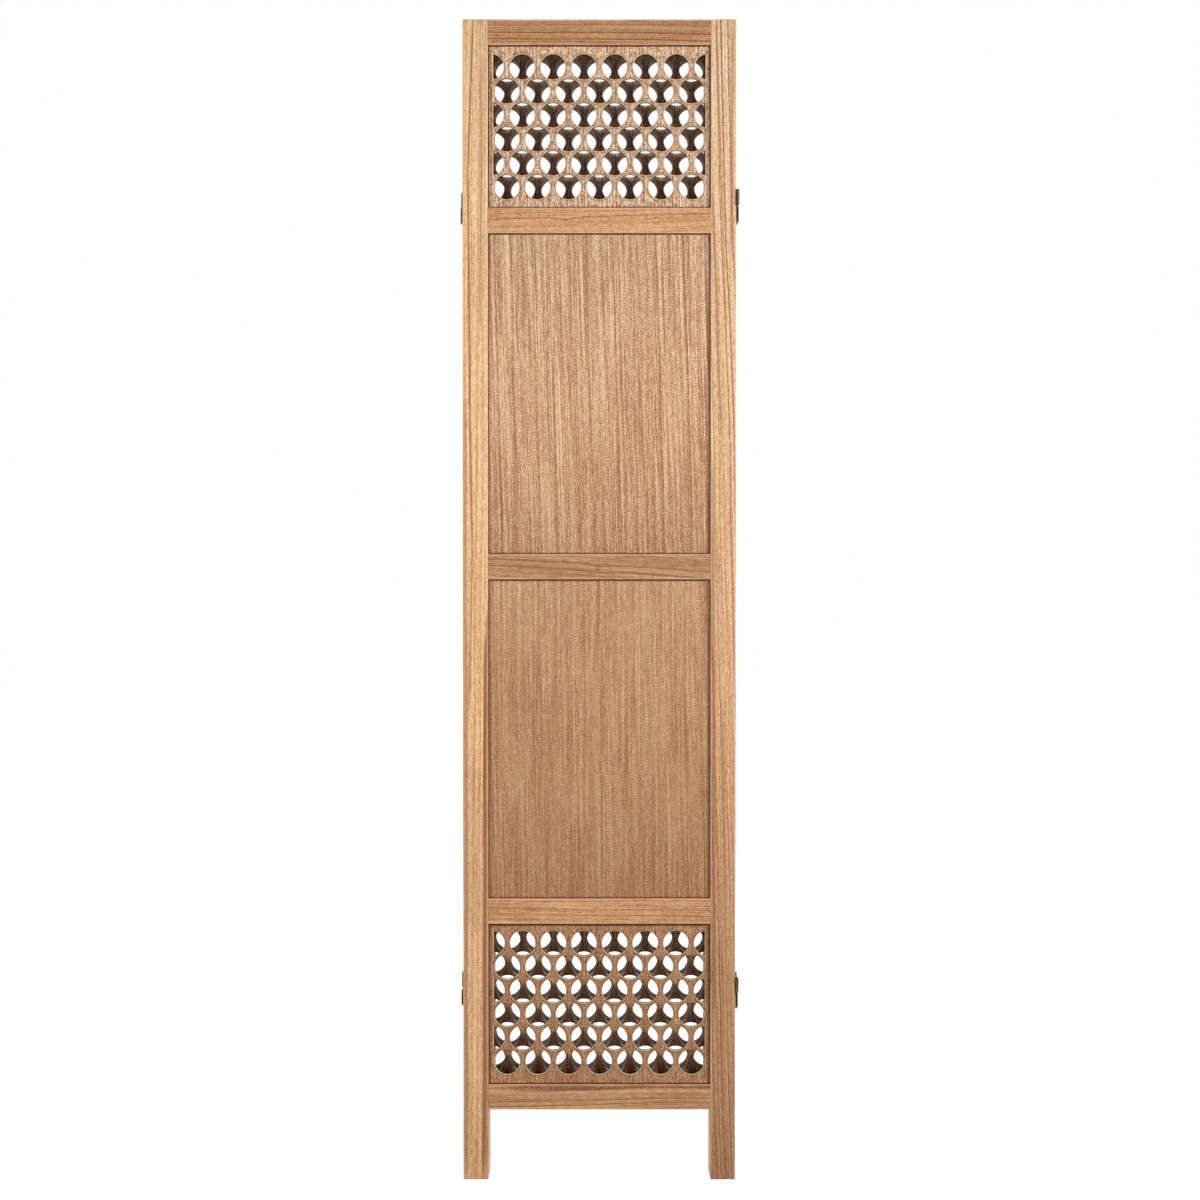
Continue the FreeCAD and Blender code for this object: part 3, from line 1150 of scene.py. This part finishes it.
@dataclass(frozen=True)
class Softbox:
    """Square soft lamp.

    Attributes:
        name: Name of the lamp.
        place: Where it hangs.
        target: What it points at.
        size: Side of its square.
        power: Power in watts.
        in_gloss: Whether it shows in gloss.
    """

    name: str
    place: Point
    target: Point
    size: float
    power: float
    in_gloss: bool = True

    def build(self) -> None:
        """Hangs the lamp and turns it to its target."""
        data = bpy.data.lights.new(self.name, "AREA")
        data.shape = "SQUARE"
        data.size = self.size
        data.energy = self.power
        lamp = bpy.data.objects.new(self.name, data)
        lamp.location = self.place
        lamp.visible_glossy = self.in_gloss
        right, away, up = np.array(self.target) - np.array(self.place)
        lamp.rotation_euler = (math.atan2(math.hypot(right, away), -up), 0.0,
                               math.atan2(away, right) - math.pi / 2)
        bpy.context.collection.objects.link(lamp)


@dataclass
class Studio:
    """Pale floor, white surroundings, soft lamps and the camera.

    Attributes:
        front: Y of the front panel's face.
        top: Height of the screen.
        distance: Distance from the front panel's face to the camera.
        camera_height: Height of the camera above the floor.
        camera_x: Place of the camera to the right of the screen's middle.
        tilt: Angle in degrees by which the camera looks down.
        picture_size: Width and height of the picture in pixels.
        top_row: Pixel row of the picture on which the front panel's top lies.
        foot_row: Pixel row on which its feet stand.
        floor_radius: Radius of the round floor.
        floor_rings: Rings of faces in the floor.
        floor_spokes: Faces round each ring.
    """

    front: float
    top: float
    distance: float = 4.0
    camera_height: float = 0.93
    camera_x: float = 0.001
    tilt: float = 1.155
    picture_size: float = 1200.0
    top_row: float = 19.4
    foot_row: float = 1179.4
    floor_radius: float = 15.0
    floor_rings: int = 24
    floor_spokes: int = 96

    SENSOR = 36.0
    EVEN_LIGHT = 0.025
    WHITE = (1.0, 1.0, 1.0)
    FLOOR_GREY = (0.55, 0.55, 0.55)
    FLOOR_GRAIN = Cells(40.0, 40.0, 2.0)
    FLOOR_GRAIN_DEPTH = 0.01

    # Distances from the screen between which the floor's glow grows, and the glow at both
    GLOW_GROWS = (0.4, 2.6)
    GLOW = (0.78, 1.0)

    # The lamps stand so far to the sides that little of their light falls through the lattices on the
    # panels behind. The rear one isn't seen in gloss, so that the panels' tops stay wooden from above.
    LAMPS = (Softbox("key", (2.5, -1.7, 2.1), (0.0, 0.0, 1.1), 0.7, 84.0),
             Softbox("fill", (-2.5, -1.7, 2.1), (0.0, 0.0, 1.1), 0.7, 47.0),
             Softbox("rear", (-1.6, 2.8, 2.3), (0.0, 0.0, 0.9), 1.6, 95.0, in_gloss=False))

    def build(self) -> None:
        """Makes the floor, the world, the lamps and the camera."""
        self.floor()
        self.world()
        for lamp in self.LAMPS:
            lamp.build()
        self.camera()

    def slope(self, height: float) -> float:
        """Rise over run, in the tilted camera's own frame, of its line of sight to the front face.

        Args:
            height: Height of the point that is looked at.

        Returns:
            The slope.
        """
        tilt = math.radians(self.tilt)
        rise = height - self.camera_height
        depth = self.distance * math.cos(tilt) - rise * math.sin(tilt)
        return (self.distance * math.sin(tilt) + rise * math.cos(tilt)) / depth

    def camera(self) -> None:
        """Puts the camera before the front panel, looking almost level along +Y. The slopes to the top and
        to the feet, and the rows on which they lie, give the focal length and the shift."""
        span = (self.foot_row - self.top_row) / self.picture_size
        focal = span / (self.slope(self.top) - self.slope(0.0))
        data = bpy.data.cameras.new("camera")
        data.sensor_width = self.SENSOR
        data.lens = self.SENSOR * focal
        data.shift_y = focal * self.slope(self.top) - (0.5 - self.top_row / self.picture_size)
        camera = bpy.data.objects.new("camera", data)
        camera.location = (self.camera_x, self.front - self.distance, self.camera_height)
        camera.rotation_euler = (math.radians(90 - self.tilt), 0.0, 0.0)
        bpy.context.collection.objects.link(camera)
        bpy.context.scene.camera = camera

    def floor(self) -> None:
        """Makes the floor: a disc whose point at share s of the radius and angle a is s times the radius,
        turned by a. The rings lie closer together near the screen."""
        rings, spokes = self.floor_rings, self.floor_spokes
        share = np.linspace(0.0, 1.0, rings + 1)[1:] ** 2
        angle = np.arange(spokes) * 2 * np.pi / spokes
        radius = self.floor_radius * share[:, None]
        points = np.stack((radius * np.cos(angle), radius * np.sin(angle), 0 * radius * angle), axis=-1)
        points = np.concatenate((np.zeros((1, 3)), points.reshape(-1, 3)))
        index = 1 + np.arange(rings * spokes).reshape(rings, spokes)
        turned = np.roll(index, -1, axis=1)
        quads = np.stack((index[:-1], index[1:], turned[1:], turned[:-1]), axis=-1).reshape(-1, 4)
        fan = np.stack((np.zeros(spokes, dtype=int), index[0], turned[0]), axis=-1)
        mesh = bpy.data.meshes.new("floor")
        mesh.from_pydata(points.tolist(), [], quads.tolist() + fan.tolist())
        floor = bpy.data.objects.new("floor", mesh)
        bpy.context.collection.objects.link(floor)
        mesh.materials.append(self.floor_material())

    def floor_material(self) -> bpy.types.Material:
        """White floor that keeps the shadow: it scatters light, and glows for the camera's rays, a little
        near the screen and fully white far from it.

        Returns:
            The material.
        """
        graph = Graph(bpy.data.materials.new("floor"))
        right, away, _ = graph.parts(graph.place())
        glow = graph.step(graph.length(right, away), *self.GLOW_GROWS, *self.GLOW)
        glow = graph.scaled(graph.noise(graph.place(), self.FLOOR_GRAIN), self.FLOOR_GRAIN_DEPTH, glow)
        diffuse = graph.node("BsdfDiffuse", {"Color": self.FLOOR_GREY})
        light = graph.node("Emission", {"Strength": graph.times(glow, graph.seen_white())})
        both = graph.node("AddShader", {0: diffuse.outputs[0], 1: light.outputs[0]})
        graph.node("OutputMaterial", {"Surface": both.outputs[0]})
        return graph.owner

    def world(self) -> None:
        """White surroundings for the camera, and a weak even light on the screen."""
        graph = Graph(bpy.data.worlds.new("studio"))
        bpy.context.scene.world = graph.owner
        strength = graph.step(graph.seen_white(), 0.0, 1.0, self.EVEN_LIGHT)
        background = graph.node("Background", {"Color": self.WHITE, "Strength": strength})
        graph.node("OutputWorld", {"Surface": background.outputs[0]})


# In these cuts, the paler middles and ends and the browner lower or left ends are painted light and shade
FRONT_CUTS = {
    "left_stile": Cut(
        -0.075, 0.080, 2.31, tone=1.21, tint=(1.0, 1.03, 1.03), painted_light_lean=-0.024, painted_light_bow=0.214, painted_shade_warmth=0.08,
        slope=-0.008, contrast=1.4, lines=1.3, streaks=(
            Streak((-0.0032, 0.846), (-0.0105, 0.629), 0.0023, 0.85),
            Streak((-0.0105, 0.629), (-0.0077, 0.278), 0.0025, 0.85),
            Streak((-0.0077, 0.278), (-0.0051, 0.087), 0.0027, 0.80),
            Streak((-0.0051, 0.087), (-0.0087, -0.147), 0.0030, 0.65),
            Streak((-0.0160, 0.292), (-0.0146, -0.836), 0.0066, 0.55),
            Streak((0.0096, 0.790), (0.0074, 0.395), 0.0030, 0.42),
            Streak((0.0178, -0.010), (0.0138, -0.110), 0.0028, 0.80),
            Streak((0.0138, -0.110), (0.0122, -0.373), 0.0030, 0.85),
            Streak((0.0122, -0.373), (0.0105, -0.836), 0.0030, 0.65),
            # This broad streak is painted shade along the stile's inner edge, next to the board, in its
            # lower half
            Streak((0.0158, -0.060), (0.0148, -0.836), 0.0085, 0.72),
            Streak((-0.0020, -0.230), (-0.0020, -0.480), 0.0220, 0.22))),
    "right_stile": Cut(
        0.090, 0.060, 5.17, tone=0.94, tint=(1.0, 0.99, 1.01), painted_light_lean=0.22, painted_light_bow=0.30, painted_shade_warmth=0.29, slope=0.03,
        contrast=1.4, lines=1.3, streaks=(
            Streak((-0.0163, 0.600), (-0.0032, 0.248), 0.0026, 0.65),
            Streak((0.0130, 0.834), (0.0115, 0.512), 0.0045, 0.45),
            Streak((-0.0100, 0.834), (0.0040, 0.400), 0.0024, 0.50),
            Streak((-0.0160, 0.200), (-0.0140, -0.600), 0.0070, 0.50),
            Streak((-0.0010, -0.147), (0.0005, -0.734), 0.0080, 0.22))),
    "top_rail": Cut(0.024, 0.045, 1.30, tone=0.74, tint=(1.0, 0.95, 0.94), slope=0.02, contrast=1.3),
    "upper_rail": Cut(-0.012, 0.034, 3.70, tone=1.03, slope=-0.03, contrast=1.4,
                      knots=(Knot(0.0005, -0.0488, 0.0016),)),
    "middle_rail": Cut(0.020, 0.040, 6.43, tone=0.84, slope=0.07, contrast=1.5, lines=0.6,
                       knots=(Knot(-0.004, -0.0019, 0.0018),)),
    "lower_rail": Cut(-0.030, 0.050, 8.12, tone=1.09, slope=0.015, contrast=1.2, lines=0.9),
    "bottom_rail": Cut(0.016, 0.038, 4.55, tone=0.95, tint=(1.0, 0.99, 0.96), slope=-0.02, contrast=1.4),
    "upper_lattice": Cut(-0.62, 0.15, 1.90, tone=1.03, tint=(1.0, 1.07, 1.14), slope=0.01, contrast=1.3),
    "upper_board": Cut(-0.70, 0.12, 3.37, tone=0.935, tint=(1.0, 0.965, 0.92), painted_light_lean=0.035, painted_light_bow=0.17,
                       painted_shade_warmth=0.10, slope=0.03, contrast=1.55, lines=0.8, curl=1.3),
    # The lower board's and lower lattice's small tone and brown tint are painted shade, darker and browner
    # towards the bottom
    "lower_board": Cut(-0.80, 0.14, 7.71, tone=0.80, tint=(1.0, 0.89, 0.76), painted_light_lean=0.13, painted_light_bow=0.06,
                       painted_shade_warmth=0.12, slope=0.012, contrast=1.1, lines=0.30, curl=1.5),
    "lower_lattice": Cut(0.66, 0.16, 5.83, tone=0.765, tint=(1.0, 0.87, 0.755), slope=-0.01, contrast=1.1,
                         lines=0.6),
}


def main() -> None:
    """Dresses the screen panel by panel, and sets up the studio by the front panel's left stile."""
    bpy.context.scene.view_settings.view_transform = "Standard"
    screw_material = SCREW_PLATE.material("plated_screws")
    hinge_material = HINGE_PLATE.material("plated_hinges")
    for number in range(1, PANEL_COUNT + 1):
        Panel(number, FRONT_CUTS).build(screw_material)
    for first in range(1, PANEL_COUNT):
        Hinges(first).build(hinge_material)
    foot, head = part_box("panel_1_left_stile")
    Studio(front=foot[1], top=head[2]).build()


if __name__ == "__main__":
    main()
